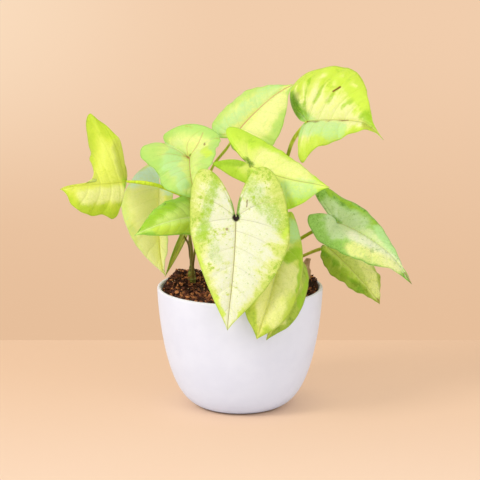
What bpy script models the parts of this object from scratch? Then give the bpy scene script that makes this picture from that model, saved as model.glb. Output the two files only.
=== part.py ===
"""Potted syngonium: an arrowhead plant with thirteen leaves, in potting mix, in a round-bottomed pot.

Lengths are in millimetres and are multiplied by MM where a mesh is made. The origin is the centre
of the pot's flat base, +Z is up, and -Y is the side on which the largest leaf hangs over the rim.
"""

import math
from collections import namedtuple

import bmesh
import bpy
from mathutils import Vector

MM = 0.001

# Pot: one turned shell, a bowl that rounds out of a flat base into a rounded lip.
RIM_RADIUS = 62.5
POT_HEIGHT = 92.0
WALL = 2.8
FLOOR = 5.0
BASE_EDGE = 0.4
POT_STEPS = 40
# A bowl's widest radius, the height at which it would close and how it bends between them.
Bowl = namedtuple("Bowl", "radius bottom roundness squareness")
OUTSIDE = Bowl(RIM_RADIUS, -1.8, 1.5, 0.213)
INSIDE = Bowl(RIM_RADIUS - WALL, FLOOR, 1.42, 0.2)

# Potting mix: fills the pot to SOIL_TOP, with low lumps and a few heaps against the back.
GAP = 0.3
SOIL_TOP = 87.0
SOIL_CLEARANCE = 0.6
SOIL_RINGS = 7
# Each heap: place, height and half-width.
HEAPS = (
    ((-45, 32), 6.0, 11),
    ((51, 18), 8.5, 10),
    ((-37, 22), 1.8, 8),
    ((3, 8), 1.6, 10),
    ((22, 0), 1.4, 9),
)

# Crown stems: short upright stems, sunk in the mix, whose flat tops carry the leaf stalks.
CROWN_FOOT = 72.0
CROWN_TOP = 100.0
CROWN_SHOULDER = 0.92
Crown = namedtuple("Crown", "place radius stalk_radius")
CROWNS = {
    "left": Crown((-37, 22), 3.9, 1.35),
    "middle": Crown((3, 8), 5.2, 1.6),
    "right": Crown((22, 0), 4.6, 1.6),
}

# Leaf stalks and blades.
STALK_END_RADIUS = 1.2
STALK_RISE = 4.0
STALK_STEP = 9.0
BLADE_THICKNESS = 0.6
BLADE_ROWS = 12
LOBE_ROWS = 4
BLADE_COLUMNS = 4
BLEND = 0.10
LOBE_TURN = 1.5

Half = namedtuple("Half", "edge lobe root taper notch fullness")
Leaf = namedtuple("Leaf", "joint middle tip halves bulge")
Stalk = namedtuple("Stalk", "crown route stop")


def half(edge, lobe, root=0.55, taper=2.0, notch=1.3, fullness=2.0):
    """One side of a blade: its widest point, its lobe's end and how its outline runs between them.

    root is the lobe end's share of the way out, taper rounds the outline towards the tip, notch
    rounds the inner side of the lobe and fullness its outer side.
    """
    return Half(Vector(edge), Vector(lobe), root, taper, notch, fullness)


def leaf(joint, middle, tip, right, left, bulge=5.0):
    """A blade from its joint to its tip, with its right-hand half first.

    Right and left are those of someone who looks from the joint to the tip with the upper face up.
    """
    return Leaf(Vector(joint), Vector(middle), Vector(tip), (right, left), bulge)


def stalk(crown, *route, stop=1.7):
    """A stalk that leaves its crown's top, runs through these points and stops short of the joint."""
    return Stalk(crown, [Vector(point) for point in route], stop)


LEAVES = {
    "front": leaf(
        (-3, -54, 155), (-5, -77, 118), (-10, -86, 79),
        half((-35, -58, 147), (-26, -44, 188), root=0.6, taper=1.7, notch=1.6),
        half((34, -62, 142), (16, -44, 189), root=0.5, taper=1.9, notch=2.2),
    ),
    "centre_right": leaf(
        (8, -26, 188), (36, -38, 180), (62, -46, 178),
        half((16, -38, 159), (-20, -34, 191), root=0.2, taper=1.6, notch=0.8, fullness=0.15),
        half((20, -12, 203), (-10, -8, 213), taper=1.6, notch=1.0),
    ),
    "top_centre": leaf(
        (-4, 8, 205), (12, 14, 223), (38, 22, 243),
        half((25, -2, 200), (0, -4, 194)),
        half((-6, 26, 228), (-21, 18, 209), taper=1.8),
    ),
    "top_right": leaf(
        (50, 12, 215), (77, 0, 218), (101, -22, 217),
        half((57, -14, 199), (44, -10, 190), taper=1.6),
        half((64, 34, 254), (36, 42, 233), taper=2.8),
    ),
    "left_middle": leaf(
        (-38, 2, 189), (-37, -28, 182), (-32, -40, 166),
        half((-59, -16, 181), (-70, -1, 198), taper=2.2),
        half((-16, -8, 204), (-49, 16, 205), root=0.3, taper=1.8, notch=2.0, fullness=2.4),
    ),
    "far_left": leaf(
        (-84, -18, 175), (-106, -40, 177), (-128, -50, 177),
        half((-117, -6, 187), (-107, -2, 218), root=0.6, taper=0.6, notch=3.0, fullness=2.0),
        half((-103, -46, 152), (-89, -34, 148), taper=1.8, notch=0.5, fullness=1.5),
    ),
    "left_back": leaf(
        (-61, 12, 165), (-60, -6, 132), (-57, -14, 104),
        half((-89, 2, 154), (-70, 26, 180), taper=1.5),
        half((-52, -6, 147), (-52, 22, 177), taper=1.5),
    ),
    "left_low": leaf(
        (-33, -30, 151), (-54, -52, 151), (-74, -66, 145),
        half((-49, -18, 162), (-34, -14, 163), taper=1.5),
        half((-42, -42, 140), (-27, -30, 138)),
    ),
    "right_low_front": leaf(
        (30, -38, 130), (22, -70, 103), (12, -76, 71),
        half((3, -50, 120), (16, -30, 147)),
        half((46, -46, 115), (38, -24, 153), taper=3.2),
    ),
    "right_low_back": leaf(
        (37, -28, 124), (30, -62, 98), (19, -68, 68),
        half((26, -28, 112), (34, -6, 130)),
        half((50, -44, 103), (47, -24, 115)),
        bulge=2.5,
    ),
    "right_upper": leaf(
        (73, -8, 142), (97, -24, 133), (120, -42, 116),
        half((65, -30, 128), (50, -26, 150), taper=3.6),
        half((80, 8, 157), (56, 12, 165), taper=1.7),
    ),
    "right_lower": leaf(
        (66, 8, 120), (85, -2, 104), (104, -10, 82),
        half((68, -8, 104), (62, 0, 116)),
        half((87, 24, 118), (66, 26, 130)),
    ),
    "young": leaf(
        (-43, 31, 124), (-49, 23, 112), (-57, 12, 96),
        half((-45, 26, 125), (-43, 28, 128), taper=1.8),
        half((-42, 36, 121), (-41, 35, 126), taper=1.8),
        bulge=0.6,
    ),
}

STALKS = {
    "front": stalk("middle", (4, -6, 126), (3, -24, 141), (0, -42, 151), stop=0.8),
    "centre_right": stalk("middle", (10, 4, 132), (13, -4, 158), (12, -15, 177), stop=0.8),
    "top_centre": stalk(
        "middle",
        (-12, 12, 121), (-24, 12, 140), (-26, 8, 163), (-20, 3, 183), (-10, 4, 196),
        stop=3.8,
    ),
    "top_right": stalk(
        "middle", (12, 16, 124), (24, 20, 154), (35, 20, 185), (39, 18, 198), (44, 15, 207)
    ),
    "far_left": stalk(
        "middle",
        (-9, 3, 126), (-20, -2, 147), (-30, -8, 158), (-44, -12, 164), (-59, -16, 171), (-71, -18, 174),
        stop=0.9,
    ),
    "left_middle": stalk(
        "left", (-37, 23, 116), (-39, 22, 132), (-38, 16, 155), (-37, 10, 175), stop=0.7
    ),
    "left_back": stalk(
        "left",
        (-39, 37, 117), (-39, 42, 130), (-46, 43, 143), (-55, 35, 153), (-60, 22, 158),
        stop=0.8,
    ),
    "left_low": stalk("left", (-33, 10, 123), (-31, -10, 138), stop=1.5),
    "right_low_front": stalk("right", (21, -12, 120), (24, -25, 128), stop=1.0),
    "right_low_back": stalk("right", (28, -10, 112), (34, -20, 119), stop=2.6),
    "right_upper": stalk(
        "right", (27, -1, 115), (43, -2, 127), (57, -5, 136), (67, -7, 141)
    ),
    "right_lower": stalk("right", (33, 9, 107), (46, 10, 112), (57, 9, 117), stop=1.2),
    "young": stalk("left", (-41, 27, 111), (-41, 30, 117), stop=5.2),
}

# The dried sheath of a lost leaf, standing in the mix at the right.
SHEATH_ROUTE = ((51, 10, 78), (51, 10, 92), (51, 10, 101), (53, 9, 110))
SHEATH_RADII = (2.0, 1.9, 1.4, 0.6)

COLOURS = {
    "glazed_white": (0.84, 0.82, 0.83, 1.0),
    "potting_mix": (0.10, 0.035, 0.015, 1.0),
    "crown_green": (0.25, 0.30, 0.05, 1.0),
    "stalk_green": (0.42, 0.52, 0.06, 1.0),
    "blade_lime": (0.62, 0.80, 0.16, 1.0),
    "dry_brown": (0.36, 0.20, 0.07, 1.0),
}
ROUGHNESS = {
    "glazed_white": 0.55,
    "potting_mix": 0.95,
    "crown_green": 0.6,
    "stalk_green": 0.5,
    "blade_lime": 0.45,
    "dry_brown": 0.8,
}


def clear_scene():
    for thing in list(bpy.data.objects):
        bpy.data.objects.remove(thing, do_unlink=True)


def new_collection(name):
    collection = bpy.data.collections.new(name)
    bpy.context.scene.collection.children.link(collection)
    return collection


def new_material(name):
    material = bpy.data.materials.new(name)
    material.use_nodes = True
    shader = material.node_tree.nodes["Principled BSDF"]
    shader.inputs["Base Color"].default_value = COLOURS[name]
    shader.inputs["Roughness"].default_value = ROUGHNESS[name]
    shader.inputs["Metallic"].default_value = 0.0
    return material


def add_object(name, data, collection, material=None):
    thing = bpy.data.objects.new(name, data)
    collection.objects.link(thing)
    if material:
        data.materials.append(material)
    return thing


def evaluated_mesh(thing):
    graph = bpy.context.evaluated_depsgraph_get()
    mesh = bpy.data.meshes.new_from_object(thing.evaluated_get(graph))
    bpy.data.objects.remove(thing, do_unlink=True)
    return mesh


def bowl_radius(bowl, height):
    """Radius of a bowl that rounds out quickly from its bottom to an upright wall at the rim."""
    fall = (POT_HEIGHT - height) / (POT_HEIGHT - bowl.bottom)
    return bowl.radius * max(0.0, 1 - fall**bowl.roundness) ** bowl.squareness


def heights_between(low, high, count):
    """Heights that crowd together near the low end, where a bowl curves most."""
    return [low + (high - low) * (step / count) ** 1.8 for step in range(count + 1)]


def turned(name, profile, steps, collection, material=None):
    """A closed solid turned from a profile that starts and ends on the axis."""
    mesh = bpy.data.meshes.new(name)
    points = [(radius * MM, 0.0, height * MM) for radius, height in profile]
    mesh.from_pydata(points, [(i, i + 1) for i in range(len(points) - 1)], [])
    thing = add_object(name, mesh, collection, material)
    screw = thing.modifiers.new("turn", "SCREW")
    screw.steps = steps
    screw.render_steps = steps
    screw.use_merge_vertices = True
    screw.merge_threshold = 0.00001
    screw.use_smooth_shade = True
    return thing


def pot_profile():
    lip = WALL / 2
    lip_height = POT_HEIGHT - lip
    lip_centre = RIM_RADIUS - lip
    inside = [(0.0, FLOOR)]
    for height in heights_between(FLOOR + 0.6, lip_height, 7):
        inside.append((bowl_radius(INSIDE, height), height))
    arc = []
    for step in range(1, 4):
        angle = math.pi * (1 - step / 4)
        arc.append((lip_centre + lip * math.cos(angle), lip_height + lip * math.sin(angle)))
    outside = []
    for height in reversed(heights_between(BASE_EDGE, lip_height, 11)):
        outside.append((bowl_radius(OUTSIDE, height), height))
    base = [(bowl_radius(OUTSIDE, 0.0) - BASE_EDGE, 0.0), (0.0, 0.0)]
    return inside + arc + outside + base


def make_pot(collection, material):
    return turned("pot", pot_profile(), POT_STEPS, collection, material)


def soil_lift(x, y):
    """How far the mix stands above or below SOIL_TOP at a place."""
    lift = 0.7 * math.sin(0.23 * x + 1.0) * math.cos(0.19 * y) - 0.7
    for (heap_x, heap_y), height, spread in HEAPS:
        distance = ((x - heap_x) ** 2 + (y - heap_y) ** 2) / spread**2
        lift += height * math.exp(-distance)
    return lift


def soil_profile():
    edge = bowl_radius(INSIDE, SOIL_TOP) - SOIL_CLEARANCE
    top = [(edge * ring / SOIL_RINGS, SOIL_TOP) for ring in range(SOIL_RINGS + 1)]
    side = []
    for height in reversed(heights_between(FLOOR + 1.0, SOIL_TOP - 6.0, 8)):
        side.append((bowl_radius(INSIDE, height - GAP) - SOIL_CLEARANCE, height))
    return top + side + [(0.0, FLOOR + 1.0)]


def make_soil(collection, cutters, material):
    mesh = evaluated_mesh(turned("soil", soil_profile(), POT_STEPS, collection))
    for vertex in mesh.vertices:
        if vertex.co.z > (SOIL_TOP - 1.0) * MM:
            vertex.co.z += soil_lift(vertex.co.x / MM, vertex.co.y / MM) * MM
    soil = add_object("soil", mesh, collection, material)
    for cutter in cutters:
        socket = soil.modifiers.new(cutter.name, "BOOLEAN")
        socket.operation = "DIFFERENCE"
        socket.object = cutter
    return soil


def upright_rod(name, place, foot, top, radius, collection, material=None):
    """A short turned stem whose shoulder narrows to a flat top."""
    shoulder = radius * CROWN_SHOULDER
    profile = [(0.0, top), (shoulder, top), (radius, top - 5.0), (radius, foot), (0.0, foot)]
    rod = turned(name, profile, 16, collection, material)
    rod.location = (place[0] * MM, place[1] * MM, 0.0)
    return rod


def make_socket(name, place, foot, radius, collection):
    """Cuts the hole in the mix in which a stem stands with a small gap all round."""
    cutter = upright_rod(name, place, foot - GAP, CROWN_TOP + 8.0, radius + GAP, collection)
    cutter.hide_render = True
    cutter.display_type = "WIRE"
    return cutter


def through(points, spacing):
    """Points read at about this spacing from a smooth curve through the given ones."""
    ends = [2 * points[0] - points[1], *points, 2 * points[-1] - points[-2]]
    path = []
    for before, start, end, after in zip(ends, ends[1:], ends[2:], ends[3:]):
        count = max(1, round((end - start).length / spacing))
        for step in range(count):
            t = step / count
            path.append(
                0.5 * (
                    2 * start
                    + (end - before) * t
                    + (2 * before - 5 * start + 4 * end - after) * t**2
                    + (3 * start - before - 3 * end + after) * t**3
                )
            )
    return path + [points[-1]]


def tube(name, path, radii, collection, material):
    """A round tapering tube along a path, closed at both ends."""
    curve = bpy.data.curves.new(name, "CURVE")
    curve.dimensions = "3D"
    curve.bevel_depth = 1.0 * MM
    curve.bevel_resolution = 2
    curve.use_fill_caps = True
    spline = curve.splines.new("POLY")
    spline.points.add(len(path) - 1)
    for point, place, radius in zip(spline.points, path, radii):
        point.co = (*(place * MM), 1.0)
        point.radius = radius
    return add_object(name, curve, collection, material)


def lean_angle(name):
    """The side to which a stalk leans from its crown, anticlockwise from +X."""
    x, y = CROWNS[STALKS[name].crown].place
    toward = STALKS[name].route[0]
    return math.atan2(toward.y - y, toward.x - x) % (2 * math.pi)


def stalk_feet(crown):
    """Where each stalk stands on its crown's top: in a ring, turned to suit the way they lean."""
    names = sorted((name for name in STALKS if STALKS[name].crown == crown), key=lean_angle)
    share = 2 * math.pi / len(names)
    turn = sum(lean_angle(name) - slot * share for slot, name in enumerate(names)) / len(names)
    place, _, stalk_radius = CROWNS[crown]
    ring = (stalk_radius + 0.6 * GAP) / math.sin(share / 2)
    feet = {}
    for slot, name in enumerate(names):
        angle = turn + slot * share
        offset = Vector((ring * math.cos(angle), ring * math.sin(angle), GAP))
        feet[name] = Vector((*place, CROWN_TOP)) + offset
    return feet


def stalk_path(name, foot):
    """From its foot straight up a little, then along its route to just short of the joint."""
    route = STALKS[name].route
    joint = LEAVES[name].joint
    end = joint + STALKS[name].stop * (route[-1] - joint).normalized()
    return through([foot, foot + Vector((0, 0, STALK_RISE)), *route, end], STALK_STEP)


def make_stalks(crown, collection, material):
    foot_radius = CROWNS[crown].stalk_radius
    for name, foot in stalk_feet(crown).items():
        path = stalk_path(name, foot)
        last = len(path) - 1
        narrowing = foot_radius - STALK_END_RADIUS
        radii = [foot_radius - narrowing * step / last for step in range(last + 1)]
        tube("stalk_" + name, path, radii, collection, material)


def soft_step(value):
    """Zero well below zero and the value well above it, with a smooth turn between."""
    return (value + math.sqrt(value * value + BLEND * BLEND)) / 2


def outline(side, along):
    """The inner and outer shares of the half-width at a place along the blade.

    along is 1 at the lobe's end, 0 at the joint and -1 at the tip.
    """
    if along < 0:
        return 0.0, (1 - (-along) ** side.taper) * (1 - 0.3 * along**6)
    inner = side.root * (1 - math.sqrt(max(0.0, 1 - along**side.notch)))
    outer = side.root + (1 - side.root) * math.sqrt(max(0.0, 1 - along**side.fullness))
    return inner, outer


def lobe_reach(blade, side):
    """How far the lobe's end lies behind the joint, beyond its share of the way out."""
    return side.lobe - blade.joint - side.root * (side.edge - blade.joint)


def spine_point(blade, along):
    """A place on the midrib or, behind the joint, on the line that the two lobes share."""
    control = 2 * blade.middle - (blade.joint + blade.tip) / 2 - blade.joint
    reach = blade.tip - blade.joint
    back = sum((lobe_reach(blade, side) for side in blade.halves), Vector()) / 2

    def turned_out(place):
        share = soft_step(-place)
        return soft_step(place) * back + 2 * share * (1 - share) * control + share**2 * reach

    start = turned_out(0.0)
    tip_share = max(0.0, -along) ** 2
    return turned_out(along) - start + tip_share * (reach - turned_out(-1.0) + start)


def blade_point(blade, side, sign, across, along):
    """The place on the blade that is this share of the half-width across and this far along."""
    width = side.edge - blade.joint
    lobe_share = max(0.0, along) ** LOBE_TURN
    point = blade.joint + across * width + spine_point(blade, along)
    point += lobe_share * (lobe_reach(blade, side) - spine_point(blade, 1.0))
    normal = sign * width.cross(blade.tip - blade.joint).normalized()
    return point + normal * (blade.bulge * 4 * across * (1 - across))


def row_place(share):
    """Rows crowd together towards the rounded lobe's end and spread evenly towards the tip."""
    lobe = LOBE_ROWS / BLADE_ROWS
    if share < lobe:
        return math.sin(math.pi / 2 * (1 - share / lobe))
    return -(((share - lobe) / (1 - lobe)) ** 0.9)


def add_half(mesh, blade, side, sign):
    grid = bmesh.ops.create_grid(mesh, x_segments=BLADE_COLUMNS, y_segments=BLADE_ROWS, size=1.0)
    for vertex in grid["verts"]:
        along = row_place((vertex.co.y + 1) / 2)
        inner, outer = outline(side, along)
        across = inner + (outer - inner) * (vertex.co.x + 1) / 2
        vertex.co = blade_point(blade, side, sign, across, along) * MM


def make_blade(name, blade, collection, material):
    mesh = bmesh.new()
    for side, sign in zip(blade.halves, (1, -1)):
        add_half(mesh, blade, side, sign)
    bmesh.ops.remove_doubles(mesh, verts=mesh.verts, dist=0.01 * MM)
    bmesh.ops.recalc_face_normals(mesh, faces=mesh.faces)
    data = bpy.data.meshes.new(name)
    mesh.to_mesh(data)
    mesh.free()
    data.shade_smooth()
    thing = add_object(name, data, collection, material)
    skin = thing.modifiers.new("thickness", "SOLIDIFY")
    skin.thickness = BLADE_THICKNESS * MM
    skin.offset = 0.0
    return thing


def make_crowns(parts, tools, materials):
    """The crown stems and the sheath's foot stand in sockets, which are returned."""
    sockets = []
    for name, crown in CROWNS.items():
        sockets.append(
            make_socket("socket_" + name, crown.place, CROWN_FOOT, crown.radius, tools)
        )
        upright_rod(
            "crown_" + name, crown.place, CROWN_FOOT, CROWN_TOP, crown.radius,
            parts, materials["crown_green"],
        )
        make_stalks(name, parts, materials["stalk_green"])
    x, y, foot = SHEATH_ROUTE[0]
    sockets.append(make_socket("socket_sheath", (x, y), foot, SHEATH_RADII[0], tools))
    sheath_path = [Vector(point) for point in SHEATH_ROUTE]
    tube("dried_sheath", sheath_path, SHEATH_RADII, parts, materials["dry_brown"])
    return sockets


def main():
    clear_scene()
    parts = new_collection("potted_syngonium")
    tools = new_collection("cutters")
    materials = {name: new_material(name) for name in COLOURS}
    make_pot(parts, materials["glazed_white"])
    sockets = make_crowns(parts, tools, materials)
    make_soil(parts, sockets, materials["potting_mix"])
    for name, blade in LEAVES.items():
        make_blade("leaf_" + name, blade, parts, materials["blade_lime"])


main()
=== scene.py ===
"""Looks for the potted syngonium: a young arrowhead plant with variegated leaves, growing in bark
potting mix in a plain matt-glazed pot.

Positions are millimetres in the model's own frame and are multiplied by MM where a mesh is made.
"""

import math
import random
from collections import namedtuple
from functools import partial

import bmesh
import bpy
import numpy as np
from mathutils import Matrix, Vector, noise


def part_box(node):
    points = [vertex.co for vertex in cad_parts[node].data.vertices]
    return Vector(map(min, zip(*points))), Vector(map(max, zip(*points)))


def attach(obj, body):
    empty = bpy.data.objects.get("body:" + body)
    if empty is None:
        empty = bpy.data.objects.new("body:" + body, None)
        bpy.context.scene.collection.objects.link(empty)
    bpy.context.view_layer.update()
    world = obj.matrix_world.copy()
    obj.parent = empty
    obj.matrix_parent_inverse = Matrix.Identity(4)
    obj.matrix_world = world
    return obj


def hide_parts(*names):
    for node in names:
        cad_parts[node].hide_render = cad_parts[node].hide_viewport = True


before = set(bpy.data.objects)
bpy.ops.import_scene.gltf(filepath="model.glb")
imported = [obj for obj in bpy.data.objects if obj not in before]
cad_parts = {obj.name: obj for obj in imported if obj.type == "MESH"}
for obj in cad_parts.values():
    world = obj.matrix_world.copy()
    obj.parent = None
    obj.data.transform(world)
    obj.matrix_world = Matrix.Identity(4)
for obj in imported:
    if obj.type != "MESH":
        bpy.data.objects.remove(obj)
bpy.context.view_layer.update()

MM = 0.001
NOISE_SEED = 5    # for noise_vector, whose offset otherwise comes from the clock

# Pot, from the model's box: rim and height. A bowl's widest radius, the height at which it would
# close and how it bends between them.
POT_LOW, POT_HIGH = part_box("pot")
RIM_RADIUS = (POT_HIGH[0] - POT_LOW[0]) / 2 / MM
POT_HEIGHT = POT_HIGH[2] / MM
WALL = 2.8
FLOOR = 5.0
BASE_EDGE = 0.4
Bowl = namedtuple("Bowl", "radius bottom roundness squareness")
OUTSIDE = Bowl(RIM_RADIUS, -1.8, 1.5, 0.213)
INSIDE = Bowl(RIM_RADIUS - WALL, FLOOR, 1.42, 0.2)
SOIL_TOP = 87.0

Half = namedtuple("Half", "edge lobe root taper notch fullness stop")
Leaf = namedtuple("Leaf", "joint middle tip halves")
Finish = namedtuple("Finish", "look bulge wave quilt hook")
Look = namedtuple(
    "Look", "heart mid edge deep rib rib_strength vein vein_strength margin mottle streak"
)


def half(edge, lobe, root=0.55, taper=2.0, notch=1.3, fullness=2.0, stop=1.0):
    """One side of a blade: its widest point, its lobe's end and how its outline runs between them.

    root is the lobe end's share of the way out, taper rounds the outline towards the tip, notch
    rounds the inner side of the lobe and fullness its outer side. stop is the share of the way to
    the tip at which the half has narrowed to a thin strip.
    """
    return Half(np.array(edge, float), np.array(lobe, float), root, taper, notch, fullness, stop)


def leaf(joint, middle, tip, right, left):
    """A blade from its joint to its tip, with its right-hand half first.

    Right and left are those of someone who looks from the joint to the tip with the upper face up.
    """
    joint, middle, tip = (np.array(point, float) for point in (joint, middle, tip))
    return Leaf(joint, middle, tip, (right, left))


# The blades' driving points: the CAD model's, with a few outlines filled out.
LEAVES = {
    "front": leaf(
        (-3, -54, 155), (-5, -77, 118), (-10, -86, 79),
        half((-36, -58, 147), (-28, -44, 189), root=0.66, taper=1.35, notch=1.15),
        half((36, -62, 142), (19, -44, 190), root=0.55, taper=1.5, notch=1.3),
    ),
    "centre_right": leaf(
        (8, -26, 188), (36, -38, 180), (62, -46, 178),
        half((16, -38, 159), (-20, -34, 191), root=0.2, taper=1.6, notch=0.8, fullness=0.15),
        half((20, -12, 203), (-10, -8, 213), taper=1.6, notch=1.0),
    ),
    "top_centre": leaf(
        (-4, 8, 205), (12, 14, 223), (38, 22, 243),
        half((25, -2, 200), (0, -4, 194)),
        half((-6, 26, 228), (-21, 18, 209), taper=1.8),
    ),
    "top_right": leaf(
        (50, 12, 215), (77, 0, 218), (101, -22, 217),
        half((57, -14, 199), (44, -10, 190), taper=1.25),
        half((64, 34, 253), (39, 42, 236), taper=3.4, stop=0.92),
    ),
    "left_middle": leaf(
        (-38, 2, 189), (-37, -28, 182), (-32, -40, 166),
        half((-60, -16, 180), (-71, -2, 199), taper=2.6, notch=4.0, fullness=3.0),
        half((-15, -7, 208), (-56, 15, 206), root=0.25, taper=2.0, notch=6.0, fullness=3.5),
    ),
    "far_left": leaf(
        (-84, -18, 175), (-106, -40, 177), (-128, -50, 177),
        half(
            (-112, -6, 189), (-110, -2, 222),
            root=0.72, taper=1.0, notch=14.0, fullness=5.0, stop=0.5,
        ),
        half((-103, -46, 155), (-90, -34, 152), taper=1.8, notch=0.5, fullness=1.5),
    ),
    "left_back": leaf(
        (-61, 12, 165), (-60, -6, 132), (-57, -14, 104),
        half((-89, 2, 154), (-70, 26, 180), taper=1.5),
        half((-52, -6, 147), (-52, 22, 177), taper=1.5),
    ),
    "left_low": leaf(
        (-33, -30, 151), (-54, -52, 151), (-74, -66, 145),
        half((-49, -18, 162), (-34, -14, 163), taper=1.5),
        half((-42, -42, 140), (-27, -30, 138)),
    ),
    "right_low_front": leaf(
        (30, -38, 130), (22, -70, 103), (12, -76, 71),
        half((3, -50, 120), (16, -30, 147)),
        half((46, -46, 115), (38, -24, 153), taper=3.2),
    ),
    "right_low_back": leaf(
        (37, -28, 124), (30, -62, 98), (19, -68, 68),
        half((26, -28, 112), (34, -6, 130)),
        half((50, -44, 103), (47, -24, 115)),
    ),
    "right_upper": leaf(
        (73, -8, 142), (97, -24, 133), (120, -42, 116),
        half((65, -30, 128), (50, -26, 150), taper=3.6),
        half((80, 8, 157), (56, 12, 165), taper=2.1),
    ),
    "right_lower": leaf(
        (66, 8, 120), (85, -2, 104), (104, -10, 82),
        half((68, -8, 103), (61, 0, 116), taper=2.2),
        half((88, 24, 117), (66, 26, 130), taper=3.2),
    ),
    "young": leaf(
        (-43, 31, 124), (-49, 23, 112), (-57, 12, 96),
        half((-46.5, 25, 124.5), (-44, 28, 128), taper=2.6),
        half((-41, 37, 121), (-40.5, 35, 126), taper=2.6),
    ),
}

# What each blade's surface is like: its look, how far each half puffs up, how far its margin waves,
# how far it rises between its side veins and how far its tip hooks aside.
FINISHES = {
    "front": Finish("creamy", 2.6, 0.6, 0.6, (1, 0, 0)),
    "centre_right": Finish("bright_lime", 3.6, 0.6, 0.4, (3, -2, -2)),
    "top_centre": Finish("pale_lime", 4.0, 0.7, 0.35, (3, 0, -1)),
    "top_right": Finish("lime_cream", 5.5, 0.9, 1.7, (4, -2, -10)),
    "left_middle": Finish("pink_veined", 4.0, 0.8, 0.55, (0, 0, 0)),
    "far_left": Finish("yellow_lime", 3.2, 0.9, 0.4, (-2, 0, -2)),
    "left_back": Finish("butter", 3.6, 0.7, 0.5, (1, 0, -1)),
    "left_low": Finish("fresh_green", 3.6, 0.4, 0.4, (-2, 0, -1)),
    "right_low_front": Finish("lime", 4.5, 0.7, 0.4, (0, 0, -1)),
    "right_low_back": Finish("olive", 3.0, 0.6, 0.4, (0, 0, -1)),
    "right_upper": Finish("grey_green", 3.6, 0.7, 0.6, (6, -1, -13)),
    "right_lower": Finish("deep_lime", 3.6, 1.0, 0.7, (1, 0, -2)),
    "young": Finish("olive", 0.6, 0.0, 0.0, (0, 0, 0)),
}

# Each look's colours run from the heart of the blade out to its margin and to its greenest tissue.
# Then come the midrib and the side veins, each with its strength, how wide the green margin is
# (0 to 1), how mottled the heart is and how far its border breaks into streaks.
LOOKS = {
    "creamy": Look(
        "#f3f2d0", "#f0f0b0", "#d8e272", "#a9c640",
        "#857040", 0.75, "#9c9660", 0.42, 0.24, 1.5, 1.0,
    ),
    "bright_lime": Look(
        "#e6f876", "#dcf464", "#c8ec46", "#aad632",
        "#7d6a28", 0.42, "#d4e070", 0.3, 0.4, 0.4, 0.5,
    ),
    "pale_lime": Look(
        "#eaf08c", "#dcea80", "#c6e272", "#a4d660",
        "#cf8f70", 0.85, "#c2d47c", 0.45, 0.4, 0.5, 0.5,
    ),
    "lime_cream": Look(
        "#f2f0a6", "#e4ee80", "#d0e84e", "#aed234",
        "#86862e", 0.5, "#b6cc4a", 0.5, 0.45, 0.6, 1.0,
    ),
    "pink_veined": Look(
        "#daec88", "#cde67c", "#bade70", "#98ce62",
        "#b9774e", 0.85, "#c99c68", 0.55, 0.35, 0.35, 0.5,
    ),
    "yellow_lime": Look(
        "#e2ea62", "#d8e24e", "#c4d838", "#a4c020",
        "#b4b43a", 0.5, "#d2d64a", 0.15, 0.35, 0.4, 0.6,
    ),
    "butter": Look(
        "#fffca0", "#f8f68a", "#dfe874", "#c2e08c",
        "#e2e48c", 0.5, "#d8dc84", 0.35, 0.4, 0.3, 0.6,
    ),
    "fresh_green": Look(
        "#d6f47c", "#c4ea68", "#aad850", "#88bf3c",
        "#dff2a0", 0.75, "#cdea84", 0.4, 0.5, 0.5, 0.5,
    ),
    "lime": Look(
        "#eff08c", "#dfe86c", "#c6d84a", "#a2be3a",
        "#e0dfa0", 0.35, "#d8dc78", 0.35, 0.45, 0.6, 0.6,
    ),
    "olive": Look(
        "#e6e878", "#d2dc60", "#b4c648", "#8ca82e",
        "#a3a548", 0.5, "#b4b858", 0.4, 0.5, 0.9, 0.6,
    ),
    "grey_green": Look(
        "#dcecaa", "#bedb8e", "#9fcb5e", "#6c9c30",
        "#c98f78", 0.25, "#c4d8a0", 0.3, 0.5, 1.6, 0.8,
    ),
    "deep_lime": Look(
        "#dae57c", "#c4d25c", "#a8be3c", "#84981e",
        "#b4b450", 0.55, "#c0c860", 0.3, 0.5, 1.2, 0.8,
    ),
}

# The tones that a variegated leaf shows where it departs from its look. On the patches below some of
# them also stand for painted shade and painted sheen.
TONES = {
    "cream": "#f4f5cc", "butter": "#f8f89c", "lime": "#cfec4a", "leaf": "#9cc61c",
    "moss": "#6ea312", "dark": "#3a6c04", "mint": "#bde698", "pale_mint": "#d8fade",
    "olive": "#b0b83a", "sage": "#cbe2a8", "rose": "#bd8058", "bark": "#7a4418",
    "black": "#1c0a04",
}

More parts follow.
